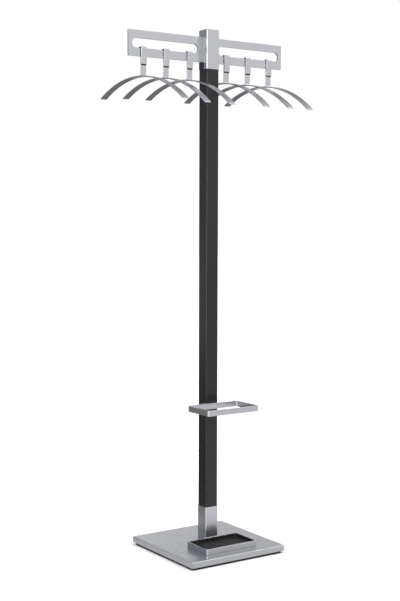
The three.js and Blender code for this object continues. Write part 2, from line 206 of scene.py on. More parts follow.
def rounded_rectangle(width, height, radius, x=0.0, y=0.0, steps=8):
    """A rectangle with round corners, counter-clockwise."""
    across = width / 2 - radius
    up = height / 2 - radius
    points = []
    for turn, (side_x, side_y) in enumerate([(1, -1), (1, 1), (-1, 1), (-1, -1)]):
        start = (turn - 1) * QUARTER
        points += arc((x + side_x * across, y + side_y * up), radius, start, start + QUARTER, steps)
    return points


def turn_at(before, here, after):
    """How sharply an outline turns at a point, in radians, and to which side."""
    incoming = here - before
    outgoing = after - here
    return math.atan2(incoming.cross(outgoing), incoming.dot(outgoing))


def neighbours(points, closed=True):
    """Each point with the one before it and the one after it."""
    count = len(points)
    for index in range(count):
        if closed or 0 < index < count - 1:
            yield points[index - 1], points[index], points[(index + 1) % count]
        else:
            yield points[index], points[index], points[index]


def soften(points, radius, closed=True, steps=3):
    """Rounds every sharp corner of an outline or a profile."""
    softened = []
    for before, here, after in neighbours(points, closed):
        if before == here:
            softened.append(here)
            continue
        turn = turn_at(before, here, after)
        if abs(turn) < SHARP_TURN:
            softened.append(here)
            continue
        cut = radius * math.tan(abs(turn) / 2)
        cut = min(cut, (here - before).length / SIDE_PER_CUT, (after - here).length / SIDE_PER_CUT)
        start = here + (before - here).normalized() * cut
        end = here + (after - here).normalized() * cut
        for step in range(steps + 1):
            share = step / steps
            softened.append(start.lerp(here, share).lerp(here.lerp(end, share), share))
    return softened


def offset(points, distance):
    """Moves a closed outline towards its left side, where its material is."""
    moved = []
    for before, here, after in neighbours(points):
        first = (here - before).normalized()
        second = (after - here).normalized()
        first_normal = Vector((-first.y, first.x))
        second_normal = Vector((-second.y, second.x))
        mitre = (first_normal + second_normal) / (1 + first_normal.dot(second_normal))
        moved.append(here + mitre * distance)
    return moved


def wear_of(points, closed=True):
    """1 at each point on a tight bend, 0 elsewhere."""
    wear = []
    for before, here, after in neighbours(points, closed):
        if before == here:
            wear.append(0.0)
            continue
        length = ((here - before).length + (after - here).length) / 2
        bend = abs(turn_at(before, here, after)) / max(length, 1e-9)
        wear.append(1.0 if bend > 1 / TIGHT_BEND else 0.0)
    return wear


def lengths_of(points):
    """Distance travelled at each point, and the whole way round."""
    travelled = [0.0]
    for start, end in zip(points, points[1:] + points[:1]):
        travelled.append(travelled[-1] + (end - start).length)
    return travelled


# ---------------------------------------------------------------- meshes
class Body:
    """A closed mesh in the making, with an edge wear value on its points and a grain in its UVs.

    The grain's u runs along the brush marks. A wall's marks go round the piece, or up it with grain_up.
    """

    def __init__(self, grain_up=False):
        self.bm = bmesh.new()
        self.wear = self.bm.verts.layers.float.new("edge_wear")
        self.uv = self.bm.loops.layers.uv.new("grain")
        self.grain_up = grain_up

    def ring(self, points, wear):
        """One closed row of points."""
        made = []
        for point, value in zip(points, wear):
            vertex = self.bm.verts.new(point)
            vertex[self.wear] = value
            made.append(vertex)
        return made

    def wall(self, lower, upper, around, low, high):
        """The faces between two rings of the same count."""
        count = len(lower)
        for index in range(count):
            after = (index + 1) % count
            face = self.bm.faces.new([lower[index], lower[after], upper[after], upper[index]])
            corners = [(around[index], low), (around[index + 1], low),
                       (around[index + 1], high), (around[index], high)]
            for loop, (u, v) in zip(face.loops, corners):
                loop[self.uv].uv = (v, u) if self.grain_up else (u, v)

    def cap(self, edges_or_ring, fill=False):
        """A flat end: one face over a ring, or a filled face over rings with holes."""
        if fill:
            edges = edges_or_ring
            made = bmesh.ops.triangle_fill(self.bm, use_beauty=True, edges=edges)["geom"]
            faces = [item for item in made if isinstance(item, bmesh.types.BMFace)]
        else:
            faces = [self.bm.faces.new(edges_or_ring)]
        for face in faces:
            for loop in face.loops:
                loop[self.uv].uv = (loop.vert.co.x, loop.vert.co.y)

    def mesh(self, name, matrix=None):
        """The finished mesh, smooth, facing out and moved into place."""
        bmesh.ops.recalc_face_normals(self.bm, faces=self.bm.faces)
        if matrix is not None:
            self.bm.transform(matrix)
        for face in self.bm.faces:
            face.smooth = True
        mesh = bpy.data.meshes.new(name)
        self.bm.to_mesh(mesh)
        self.bm.free()
        return mesh


def ring_edges(ring):
    """The edges round a ring."""
    return [edge_between(ring[index - 1], ring[index]) for index in range(len(ring))]


def edge_between(first, second):
    """The edge that joins two points."""
    return next(edge for edge in first.link_edges if second in edge.verts)


def plate(body, outlines, low, high, rounding, steps=2):
    """A closed slab between two heights, with round edges. The outlines keep the material on their left."""
    rows = []
    for step in range(steps + 1):
        angle = QUARTER * step / steps
        rows.append((rounding * (1 - math.sin(angle)), rounding * (1 - math.cos(angle)), math.sin(2 * angle)))
    levels = [(inset, low + rise, wear) for inset, rise, wear in rows]
    levels += [(inset, high - rise, wear) for inset, rise, wear in reversed(rows)]
    first_edges = []
    last_edges = []
    for outline in outlines:
        bend_wear = wear_of(outline)
        around = lengths_of(outline)
        previous = None
        for inset, level, wear in levels:
            points = [(p.x, p.y, level) for p in offset(outline, inset)]
            current = body.ring(points, [max(wear, value) for value in bend_wear])
            if previous is None:
                first_ring = current
            else:
                body.wall(previous, current, around, last_level, level)
            previous = current
            last_level = level
        first_edges += ring_edges(first_ring)
        last_edges += ring_edges(previous)
    body.cap(first_edges, fill=True)
    body.cap(last_edges, fill=True)


def sweep(body, width, depth, centre, profile, corner_at, closed, steps=8):
    """A skin whose rings are rounded rectangles. The profile gives each ring's inset and height.

    A closed profile makes a tube; an open one gets a flat face over its first and its last ring.
    """
    profile_wear = wear_of(profile, closed)
    rises = lengths_of(profile)
    rings = []
    for point, wear in zip(profile, profile_wear):
        inset, level = point
        corner = max(corner_at(inset, level), SMALLEST_CORNER)
        outline = rounded_rectangle(width - 2 * inset, depth - 2 * inset, corner, *centre, steps=steps)
        if not rings:
            around = lengths_of(outline)
        corner_wear = wear_of(outline)
        points = [(p.x, p.y, level) for p in outline]
        rings.append(body.ring(points, [max(wear, value) for value in corner_wear]))
    for index in range(len(rings) - 1):
        body.wall(rings[index], rings[index + 1], around, rises[index], rises[index + 1])
    if closed:
        body.wall(rings[-1], rings[0], around, rises[-2], rises[-1])
    else:
        body.cap(rings[0])
        body.cap(rings[-1])


def block_tool(low, high, matrix=None):
    """A plain block, to cut with or to join."""
    bm = bmesh.new()
    size = Vector(high) - Vector(low)
    middle = (Vector(high) + Vector(low)) / 2
    bmesh.ops.create_cube(bm, size=1.0, matrix=Matrix.Translation(middle) @ Matrix.Diagonal((*size, 1.0)))
    if matrix is not None:
        bm.transform(matrix)
    return bm


def rod_tool(radius, length, matrix):
    """A plain rod along its own Z, to cut with."""
    bm = bmesh.new()
    bmesh.ops.create_cone(bm, cap_ends=True, segments=24, radius1=radius, radius2=radius,
                          depth=length, matrix=matrix)
    return bm


def combine(mesh, tools, operation):
    """Cuts the tools from a mesh, or joins them to it, and returns the new mesh."""
    made = bpy.data.objects.new("combining", mesh)
    bpy.context.scene.collection.objects.link(made)
    helpers = []
    for tool in tools:
        tool_mesh = tool
        if isinstance(tool, bmesh.types.BMesh):
            tool_mesh = bpy.data.meshes.new("tool")
            tool.to_mesh(tool_mesh)
            tool.free()
        helper = bpy.data.objects.new("tool", tool_mesh)
        bpy.context.scene.collection.objects.link(helper)
        modifier = made.modifiers.new("combine", "BOOLEAN")
        modifier.operation = operation
        modifier.solver = "EXACT"
        modifier.object = helper
        helpers.append(helper)
    bpy.context.view_layer.update()
    evaluated = made.evaluated_get(bpy.context.evaluated_depsgraph_get())
    result = bpy.data.meshes.new_from_object(evaluated)
    for used in [made, *helpers]:
        bpy.data.objects.remove(used)
    return result


def add_piece(node, mesh, material):
    """Puts a fine piece in the scene in place of its CAD node."""
    piece = bpy.data.objects.new(node + "_fine", mesh)
    bpy.context.scene.collection.objects.link(piece)
    mesh.materials.clear()
    mesh.materials.append(material)
    shading = piece.modifiers.new("weighted normals", "WEIGHTED_NORMAL")
    shading.keep_sharp = True
    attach(piece, frame["nodes"][node]["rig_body"])
    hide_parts(node)


def size_and_centre(node):
    """A CAD node's size and its middle."""
    low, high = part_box(node)
    return high - low, (low + high) / 2


# ---------------------------------------------------------------- materials
class Paint:
    """A node material in the making."""

    def __init__(self, name):
        self.material = bpy.data.materials.new(name)
        self.material.use_nodes = True
        self.nodes = self.material.node_tree.nodes
        self.links = self.material.node_tree.links
        self.shader = self.nodes["Principled BSDF"]
        self.coordinates = self.nodes.new("ShaderNodeTexCoord")

    def node(self, kind, **inputs):
        """A new node with some of its inputs set by value or linked to a socket."""
        made = self.nodes.new(kind)
        for name, value in inputs.items():
            self.feed(made.inputs[name.replace("_", " ")], value)
        return made

    def feed(self, socket, value):
        """Links an output to a socket, or sets the socket's value."""
        if isinstance(value, bpy.types.NodeSocket):
            self.links.new(value, socket)
        else:
            socket.default_value = value

    def noise(self, scale, vector, detail=2.0, stretch=(1.0, 1.0, 1.0)):
        """A noise value, stretched along the axes of its vector."""
        mapping = self.node("ShaderNodeMapping", Vector=vector, Scale=stretch)
        made = self.node("ShaderNodeTexNoise", Vector=mapping.outputs["Vector"], Scale=scale, Detail=detail)
        return made.outputs["Fac"]

    def spread(self, value, low, high, start=0.3, end=0.7):
        """Maps a value from start-end to low-high, held at both ends."""
        made = self.node("ShaderNodeMapRange", Value=value)
        made.inputs["From Min"].default_value = start
        made.inputs["From Max"].default_value = end
        made.inputs["To Min"].default_value = low
        made.inputs["To Max"].default_value = high
        return made.outputs["Result"]

    def mix(self, share, first, second):
        """A colour between two colours."""
        made = self.nodes.new("ShaderNodeMix")
        made.data_type = "RGBA"
        self.feed(made.inputs["Factor"], share)
        self.feed(made.inputs["A"], first if isinstance(first, bpy.types.NodeSocket) else (*first, 1.0))
        self.feed(made.inputs["B"], second if isinstance(second, bpy.types.NodeSocket) else (*second, 1.0))
        return made.outputs["Result"]

    def math(self, operation, first, second):
        """One step of arithmetic."""
        made = self.nodes.new("ShaderNodeMath")
        made.operation = operation
        self.feed(made.inputs[0], first)
        self.feed(made.inputs[1], second)
        return made.outputs[0]

    def worn_edges(self, breadth):
        """Where edges are worn: the mesh's own edge wear, broken up by a patchy noise."""
        wear = self.node("ShaderNodeAttribute")
        wear.attribute_name = "edge_wear"
        patches = self.noise(60.0, self.coordinates.outputs["Object"])
        patches = self.spread(patches, 0.0, 1.0, 0.5 - breadth, 0.7)
        return self.math("MULTIPLY", wear.outputs["Fac"], patches)

    def bump(self, height, distance, normal=None):
        """A fine relief. Its distance is the real height in metres."""
        made = self.node("ShaderNodeBump", Height=height, Distance=distance, Strength=1.0)
        if normal is not None:
            self.feed(made.inputs["Normal"], normal)
        return made.outputs["Normal"]


def scaled(colour, factor):
    """A colour made darker or lighter."""
    return tuple(channel * factor for channel in colour)


def satin_metal(name, colour, roughness, brush, anisotropy):
    """Silver metal with fine brush marks along its grain, soft clouds and slightly polished edges."""
    paint = Paint(name)
    grain = paint.coordinates.outputs["UV"]
    place = paint.coordinates.outputs["Object"]
    marks = paint.noise(1.0, grain, 4.0, (14.0, 2600.0, 1.0))
    broad_marks = paint.noise(1.0, grain, 2.0, (5.0, 420.0, 1.0))
    clouds = paint.noise(4.0, place, 2.0)
    smudges = paint.noise(26.0, place, 3.0)
    tone = paint.mix(paint.spread(clouds, 0.0, 1.0), scaled(colour, 0.975), scaled(colour, 1.02))
    tone = paint.mix(paint.spread(broad_marks, 0.0, brush), tone, scaled(colour, 0.9))
    edges = paint.worn_edges(0.2)
    tone = paint.mix(paint.math("MULTIPLY", edges, 0.5), tone, scaled(colour, 1.15))
    paint.feed(paint.shader.inputs["Base Color"], tone)
    paint.shader.inputs["Metallic"].default_value = 1.0
    rough = paint.spread(smudges, roughness * 0.95, roughness * 1.08)
    rough = paint.math("ADD", rough, paint.spread(marks, -0.02, 0.03))
    rough = paint.math("SUBTRACT", rough, paint.math("MULTIPLY", edges, roughness * 0.25))
    paint.feed(paint.shader.inputs["Roughness"], rough)
    paint.shader.inputs["Anisotropic"].default_value = anisotropy
    tangent = paint.nodes.new("ShaderNodeTangent")
    tangent.direction_type = "UV_MAP"
    tangent.uv_map = "grain"
    paint.feed(paint.shader.inputs["Tangent"], tangent.outputs["Tangent"])
    relief = paint.bump(marks, 0.000004)
    paint.feed(paint.shader.inputs["Normal"], paint.bump(broad_marks, 0.000006, normal=relief))
    return paint.material


def zinc_plate(name):
    """Zinc-plated steel of screws and inner fittings: mottled, with a faint warm and cool drift."""
    paint = Paint(name)
    place = paint.coordinates.outputs["Object"]
    drift = paint.noise(120.0, place, 3.0)
    spangle = paint.node("ShaderNodeTexVoronoi", Vector=place, Scale=900.0)
    tone = paint.mix(paint.spread(drift, 0.0, 1.0), (0.50, 0.51, 0.53), (0.60, 0.585, 0.54))
    tone = paint.mix(paint.spread(spangle.outputs["Distance"], 0.0, 0.25, 0.0, 1.0), tone, (0.7, 0.7, 0.71))
    paint.feed(paint.shader.inputs["Base Color"], tone)
    paint.shader.inputs["Metallic"].default_value = 1.0
    paint.feed(paint.shader.inputs["Roughness"], paint.spread(drift, 0.26, 0.42))
    paint.feed(paint.shader.inputs["Normal"], paint.bump(spangle.outputs["Distance"], 0.00001))
    return paint.material


def coated_steel(name):
    """Black powder coat: a fine orange peel, a few dust specks and edges rubbed slightly bright."""
    paint = Paint(name)
    place = paint.coordinates.outputs["Object"]
    peel = paint.noise(900.0, place, 2.0)
    clouds = paint.noise(5.0, place, 3.0)
    dust = paint.noise(420.0, place, 0.0)
    tone = paint.mix(paint.spread(clouds, 0.0, 1.0), (0.002, 0.002, 0.0025), (0.004, 0.0035, 0.004))
    tone = paint.mix(paint.spread(dust, 0.0, 0.3, 0.76, 0.84), tone, (0.05, 0.05, 0.05))
    edges = paint.worn_edges(0.15)
    tone = paint.mix(paint.math("MULTIPLY", edges, 0.35), tone, (0.055, 0.055, 0.058))
    paint.feed(paint.shader.inputs["Base Color"], tone)
    rough = paint.spread(clouds, 0.22, 0.28)
    rough = paint.math("SUBTRACT", rough, paint.math("MULTIPLY", edges, 0.06))
    paint.feed(paint.shader.inputs["Roughness"], rough)
    paint.feed(paint.shader.inputs["Normal"], paint.bump(peel, 0.000005))
    return paint.material


def moulded_plastic(name):
    """Black moulded plastic with a fine spark-eroded grain and polished high spots."""
    paint = Paint(name)
    place = paint.coordinates.outputs["Object"]
    grain = paint.noise(2400.0, place, 2.0)
    flow = paint.noise(18.0, place, 4.0, (1.0, 3.0, 1.0))
    tone = paint.mix(paint.spread(flow, 0.0, 1.0), (0.004, 0.004, 0.0045), (0.008, 0.008, 0.009))
    edges = paint.worn_edges(0.2)
    tone = paint.mix(paint.math("MULTIPLY", edges, 0.4), tone, (0.05, 0.05, 0.052))
    paint.feed(paint.shader.inputs["Base Color"], tone)
    paint.feed(paint.shader.inputs["Roughness"], paint.spread(flow, 0.34, 0.46))
    paint.feed(paint.shader.inputs["Normal"], paint.bump(grain, 0.00002))
    return paint.material


def soft_rubber(name):
    """Matt black rubber with pores and a little grey dust."""
    paint = Paint(name)
    place = paint.coordinates.outputs["Object"]
    pores = paint.node("ShaderNodeTexVoronoi", Vector=place, Scale=700.0)
    dust = paint.noise(45.0, place, 5.0)
    tone = paint.mix(paint.spread(dust, 0.0, 1.0, 0.35, 0.8), (0.007, 0.007, 0.007), (0.02, 0.02, 0.019))
    paint.feed(paint.shader.inputs["Base Color"], tone)
    paint.feed(paint.shader.inputs["Roughness"], paint.spread(dust, 0.7, 0.9))
    paint.feed(paint.shader.inputs["Normal"], paint.bump(pores.outputs["Distance"], 0.00006))
    return paint.material


def raw_board(name):
    """Raw fibre board: brown, with short pressed fibres."""
    paint = Paint(name)
    place = paint.coordinates.outputs["Object"]
    fibres = paint.noise(300.0, place, 5.0, (1.0, 4.0, 8.0))
    blotches = paint.noise(12.0, place, 2.0)
    tone = paint.mix(paint.spread(blotches, 0.0, 1.0), (0.30, 0.20, 0.115), (0.40, 0.28, 0.165))
    tone = paint.mix(paint.spread(fibres, 0.0, 0.6), tone, (0.20, 0.13, 0.07))
    paint.feed(paint.shader.inputs["Base Color"], tone)
    paint.feed(paint.shader.inputs["Roughness"], paint.spread(fibres, 0.8, 0.95))
    paint.feed(paint.shader.inputs["Normal"], paint.bump(fibres, 0.0001))
    return paint.material


SILVER = satin_metal("satin silver", (0.53, 0.535, 0.555), 0.22, 0.35, 0.3)
BASE_SILVER = satin_metal("base silver", (0.525, 0.535, 0.545), 0.34, 0.2, 0.15)
ZINC = zinc_plate("zinc plate")
COAT = coated_steel("black powder coat")
PLASTIC = moulded_plastic("black plastic")
RUBBER = soft_rubber("black rubber")
BOARD = raw_board("fibre board")


# ---------------------------------------------------------------- base
def build_mat():
    """The recessed mat under the base."""
    size, _ = size_and_centre("floor_mat")
    low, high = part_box("floor_mat")
    body = Body()
    plate(body, [rounded_rectangle(size.x, size.y, MAT_CORNER)], low.z, high.z, MAT_ROUNDING)
    add_piece("floor_mat", body.mesh("floor mat"), RUBBER)


def build_cover():
    """The folded sheet of the base, with its corner seams and the small holes in its skirts."""
    size, centre = size_and_centre("base_cover")
    low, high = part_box("base_cover")
    ceiling = high.z - COVER_SHEET
    profile = [Vector((COVER_BEND * 3, high.z))]
    for step in range(7):
        angle = QUARTER * step / 6
        profile.append(Vector((COVER_BEND * (1 - math.sin(angle)),
                               high.z - COVER_BEND * (1 - math.cos(angle)))))
    profile += [Vector((0, low.z)), Vector((COVER_SHEET, low.z)), Vector((COVER_SHEET, ceiling)),
                Vector((COVER_BEND * 3, ceiling))]
    profile = profile[:8] + soften(profile[7:], COVER_LIP, closed=False)[1:]
    body = Body()
    sweep(body, size.x, size.y, (centre.x, centre.y), profile, lambda inset, z: COVER_CORNER - inset, False)
    reach = size.x / 2 * math.sqrt(2) + TOOL_REACH
    seams = []
    for corner in range(4):
        turn = Matrix.Rotation(QUARTER / 2 + corner * QUARTER, 4, "Z")
        seams.append(block_tool((reach - SEAM_DEPTH, -SEAM_WIDTH / 2, low.z - TOOL_REACH),
                                (reach, SEAM_WIDTH / 2, ceiling - COVER_BEND), turn))
    across = Matrix.Rotation(QUARTER, 4, "X")
    holes = []
    for side in (-1, 1):
        hole_place = Matrix.Translation((side * (size.x / 2 - RELIEF_INSET), 0, RELIEF_HEIGHT)) @ across
        holes.append(rod_tool(RELIEF_RADIUS, size.y * 1.1, hole_place))
    mesh = combine(body.mesh("base cover"), seams + holes, "DIFFERENCE")
    add_piece("base_cover", mesh, BASE_SILVER)


# ---------------------------------------------------------------- post and sleeves
def tube_profile(wall, low, high, rounding):
    """The closed section of a tube's wall: inset from the outside, and height."""
    corners = [Vector((0, low)), Vector((wall, low)), Vector((wall, high)), Vector((0, high))]
    return soften(corners, rounding)


def build_tube(node, wall, corner, rounding, material, cutters=()):
    """A square tube with round corners, cut by some tools."""
    size, centre = size_and_centre(node)
    low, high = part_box(node)
    body = Body(grain_up=True)
    profile = tube_profile(wall, low.z, high.z, rounding)
    sweep(body, size.x, size.y, (centre.x, centre.y), profile, lambda inset, z: corner - inset, True)
    mesh = body.mesh(node)
    if cutters:
        mesh = combine(mesh, cutters, "DIFFERENCE")
    add_piece(node, mesh, material)


def build_post():
    """The post and the sleeves round its foot and its head."""
    build_tube("post_tube", TUBE_WALL, POST_CORNER, TUBE_END, COAT)
    build_tube("foot_sleeve", SLEEVE_WALL, SLEEVE_CORNER, SLEEVE_END, SILVER)
    rail_low, rail_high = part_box("rail")
    sleeve_low, sleeve_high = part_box("head_sleeve")
    side = sleeve_high.x + TOOL_REACH
    bottom = sleeve_low.z - TOOL_REACH
    rail_slot = block_tool((-side, rail_low.y - GAP, bottom),
                           (side, rail_high.y + GAP, rail_high.z + GAP))
    notch = block_tool((-side, KEEPER_FRONT, bottom), (side, side, rail_low.z))
    build_tube("head_sleeve", SLEEVE_WALL, SLEEVE_CORNER, SLEEVE_END, SILVER,
               [rail_slot, notch])


def build_keeper():
    """The black piece that fills the head sleeve's notch under the rail."""
    low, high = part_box("rail_keeper")
    side = high.x
    inner = side - SLEEVE_WALL
    inner_corner = SLEEVE_CORNER - SLEEVE_WALL
    outer_at = side - SLEEVE_CORNER
    inner_at = inner - inner_corner
    outline = [Vector((inner, low.y)), Vector((side, low.y))]
    outline += arc((outer_at, outer_at), SLEEVE_CORNER, 0, QUARTER, 8)
    outline += arc((-outer_at, outer_at), SLEEVE_CORNER, QUARTER, 2 * QUARTER, 8)
    outline += [Vector((-side, low.y)), Vector((-inner, low.y))]
    outline += arc((-inner_at, inner_at), inner_corner, 2 * QUARTER, QUARTER, 6)
    outline += arc((inner_at, inner_at), inner_corner, QUARTER, 0, 6)
    body = Body()
    plate(body, [soften(outline, HIDDEN_ROUNDING)], low.z, high.z, HIDDEN_ROUNDING)
    add_piece("rail_keeper", body.mesh("rail keeper"), PLASTIC)


def build_cap():
    """The head sleeve's lid, with a plug that fits inside the sleeve."""
    size, _ = size_and_centre("head_cap")
    low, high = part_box("head_cap")
    lid_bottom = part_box("head_sleeve")[1].z + GAP
    body = Body()
    plate(body, [rounded_rectangle(size.x, size.y, SLEEVE_CORNER)], lid_bottom, high.z, CAP_ROUNDING)
    lid = body.mesh("head cap")
    plug_side = size.x - 2 * (SLEEVE_WALL + GAP)
    plug_top = (lid_bottom + high.z) / 2
    plug = rounded_rectangle(plug_side, plug_side, POST_CORNER)
    body = Body()
    plate(body, [plug], low.z, plug_top, HIDDEN_ROUNDING)
    mesh = combine(lid, [body.mesh("plug")], "UNION")
    add_piece("head_cap", mesh, SILVER)


# ---------------------------------------------------------------- rail
def build_rail():
    """The flat rail with its two round-ended slots."""
    size, centre = size_and_centre("rail")
    low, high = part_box("rail")
    outlines = [rounded_rectangle(size.x, size.z, RAIL_CORNER, centre.x, centre.z, 6)]
    slot_length = SLOT_OUTER - SLOT_INNER
    slot_z = low.z + SLOT_BOTTOM + SLOT_HEIGHT / 2
    for side in (-1, 1):
        slot_x = side * (SLOT_INNER + SLOT_OUTER) / 2
        hole = rounded_rectangle(slot_length, SLOT_HEIGHT, SLOT_HEIGHT / 2, slot_x, slot_z, 24)
        outlines.append(list(reversed(drop_doubles(hole))))
    body = Body()
    plate(body, outlines, -high.y, -low.y, RAIL_ROUNDING, 3)
    mesh = body.mesh("rail", Matrix.Rotation(QUARTER, 4, "X"))
    add_piece("rail", mesh, SILVER)


def drop_doubles(points):
    """The outline without points that lie on the one before."""
    return [here for before, here, _ in neighbours(points) if (here - before).length > 1e-7]


# ---------------------------------------------------------------- umbrella hoop and tray
def build_hoop():
    """The umbrella hoop and the spacer behind it."""
    size, centre = size_and_centre("umbrella_hoop")
    low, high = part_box("umbrella_hoop")
    body = Body()
    profile = tube_profile(HOOP_WALL, low.z, high.z, HOOP_ROUNDING)
    sweep(body, size.x, size.y, (centre.x, centre.y), profile, lambda inset, z: HOOP_CORNER - inset, True, 12)
    add_piece("umbrella_hoop", body.mesh("umbrella hoop"), SILVER)
    size, centre = size_and_centre("hoop_spacer")
    low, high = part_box("hoop_spacer")
    body = Body()
    outline = rounded_rectangle(size.x, size.z, SPACER_CORNER, centre.x, centre.z)
    plate(body, [outline], -high.y, -low.y, SPACER_ROUNDING)
    mesh = body.mesh("hoop spacer", Matrix.Rotation(QUARTER, 4, "X"))
    add_piece("hoop_spacer", mesh, PLASTIC)


def build_tray():
    """The drip tray's frame, which has a floor of its own."""
    size, centre = size_and_centre("tray_frame")
    low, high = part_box("tray_frame")
    floor = low.z + TRAY_FLOOR
    profile = [Vector((TRAY_FLAT, low.z)), Vector((0, low.z)), Vector((0, high.z)),
               Vector((TRAY_WALL, high.z)), Vector((TRAY_WALL, floor)), Vector((TRAY_FLAT, floor))]
    body = Body()
    sweep(body, size.x, size.y, (centre.x, centre.y), soften(profile, TRAY_EDGE, closed=False),
          lambda inset, z: TRAY_CORNER - min(inset, TRAY_WALL), False)
    add_piece("tray_frame", body.mesh("tray frame"), SILVER)


def build_insert():
    """The tray's black basin, with ribs on its floor and two lugs on its back wall."""
    size, centre = size_and_centre("tray_insert")
    low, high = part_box("tray_insert")
    underside = low.z + INSERT_LIFT
    floor = underside + INSERT_FLOOR
    wall = INSERT_WALL
    skirt = wall * SKIRT_SHARE
    profile = [Vector((INSERT_FLAT, floor)), Vector((wall, floor)), Vector((wall, high.z)),
               Vector((0, high.z)), Vector((0, low.z)), Vector((skirt, low.z)), Vector((skirt, underside)),
               Vector((INSERT_FLAT, underside))]
    profile = soften(profile, INSERT_EDGE, closed=False)

    def corner_at(inset, z):
        share = min(inset / wall, 1.0)
        if z > underside + INSERT_FLOOR / 2:
            return INSERT_CORNER + (INSERT_BASIN_CORNER - INSERT_CORNER) * share
        return INSERT_CORNER - INSERT_TAPER * share

    body = Body()
    sweep(body, size.x, size.y, (centre.x, centre.y), profile, corner_at, False)
    extras = []
    pitch = (size.y - 2 * wall - 2 * INSERT_BASIN_CORNER) / (RIBS - 1)
    rib_end = size.x / 2 - wall - INSERT_BASIN_CORNER
    for rib in range(RIBS):
        rib_y = centre.y + (rib - (RIBS - 1) / 2) * pitch
        extras.append(block_tool((-rib_end, rib_y - RIB_WIDTH / 2, floor - RIB_RISE / 2),
                                 (rib_end, rib_y + RIB_WIDTH / 2, floor + RIB_RISE)))
    for lug_x in LUGS:
        lug_low = (lug_x - LUG_WIDTH / 2, high.y - wall - LUG_DEPTH, floor - RIB_RISE / 2)
        extras.append(block_tool(lug_low, (lug_x + LUG_WIDTH / 2, high.y - wall / 2, high.z - LUG_BELOW_RIM)))
    mesh = combine(body.mesh("tray insert"), extras, "UNION")
    add_piece("tray_insert", mesh, PLASTIC)


# ---------------------------------------------------------------- hangers
STRIP_TO_WORLD = Matrix(((0, 0, 1, 0), (1, 0, 0, 0), (0, 1, 0, 0), (0, 0, 0, 1)))


def add_strip(node, outline, width, rounding, place, material, steps=4):
    """A strip bent to an outline that is seen from its edge."""
    body = Body()
    plate(body, [outline], -width / 2, width / 2, rounding, steps)
    add_piece(node, body.mesh(node, place @ STRIP_TO_WORLD), material)


def saddle_outline(front, back, top):
    """The strip bent over the rail, from its inner faces and its inner top."""
    outer_front = front - STRIP_THICKNESS
    outer_back = back + STRIP_THICKNESS
    outer_top = top + STRIP_THICKNESS
    outline = [Vector((outer_front, -FRONT_LEG)), Vector((front, -FRONT_LEG))]
    outline += arc((front + INNER_BEND, top - INNER_BEND), INNER_BEND, 2 * QUARTER, QUARTER, 5)
    outline += arc((back - INNER_BEND, top - INNER_BEND), INNER_BEND, QUARTER, 0, 5)
    outline += [Vector((back, -BACK_LEG)), Vector((outer_back, -BACK_LEG))]
    outline += arc((outer_back - OUTER_BEND, outer_top - OUTER_BEND), OUTER_BEND, 0, QUARTER, 8)
    outline += arc((outer_front + OUTER_BEND, outer_top - OUTER_BEND), OUTER_BEND, QUARTER, 2 * QUARTER, 8)
    return soften(outline, STRIP_CORNER)


def liner_outline(front, back, inner_front, inner_back):
    """The liner between the saddle's inner faces and the rail. Its front end reaches below the saddle.
    Besides lining the saddle, its black edge beside the rail and its black front end below the saddle's leg
    are painted shade, for the shade in that gap and the shadow under the leg's end.
    """
    bend = INNER_BEND - GAP
    top = GAP + LINER_THICKNESS
    # the liner's black foot below the saddle's leg: painted shade for the shadow under the leg's end
    foot = -FRONT_LEG - LINER_SHADE_BELOW
    outline = [Vector((front + GAP, foot)), Vector((-inner_front, foot)), Vector((-inner_front, GAP)),
               Vector((inner_back, GAP)), Vector((inner_back, -BACK_LEG)), Vector((back - GAP, -BACK_LEG))]
    outline += arc((back - INNER_BEND, top - bend), bend, 0, QUARTER, 4)
    outline += arc((front + INNER_BEND, top - bend), bend, QUARTER, 2 * QUARTER, 4)
    return soften(outline, LINER_CORNER)


def stem_outline(front, back):
    """The stem, with the round of its weld on the arms at its foot."""
    foot = -HANGER_APEX - WELD_OVERLAP
    weld = foot + WELD + WELD_FOOT
    outline = [Vector((front - WELD, foot)), Vector((back + WELD, foot))]
    outline += arc((back + WELD, weld), WELD, -QUARTER, -2 * QUARTER, 4)
    outline += [Vector((back, -STEM_TOP)), Vector((front, -STEM_TOP))]
    outline += arc((front - WELD, weld), WELD, 0, -QUARTER, 4)
    return soften(outline, STRIP_CORNER)


def arms_outline():
    """The bar of the arms, bent to a circle, with the middle of its upper face at the origin."""
    first = QUARTER - ARM_HALF_ANGLE
    last = QUARTER + ARM_HALF_ANGLE
    outline = arc((0, -ARM_RADIUS), ARM_RADIUS, first, last, 72)
    outline += arc((0, -ARM_RADIUS), ARM_RADIUS - ARM_THICKNESS, last, first, 72)
    return soften(outline, ARM_CORNER)


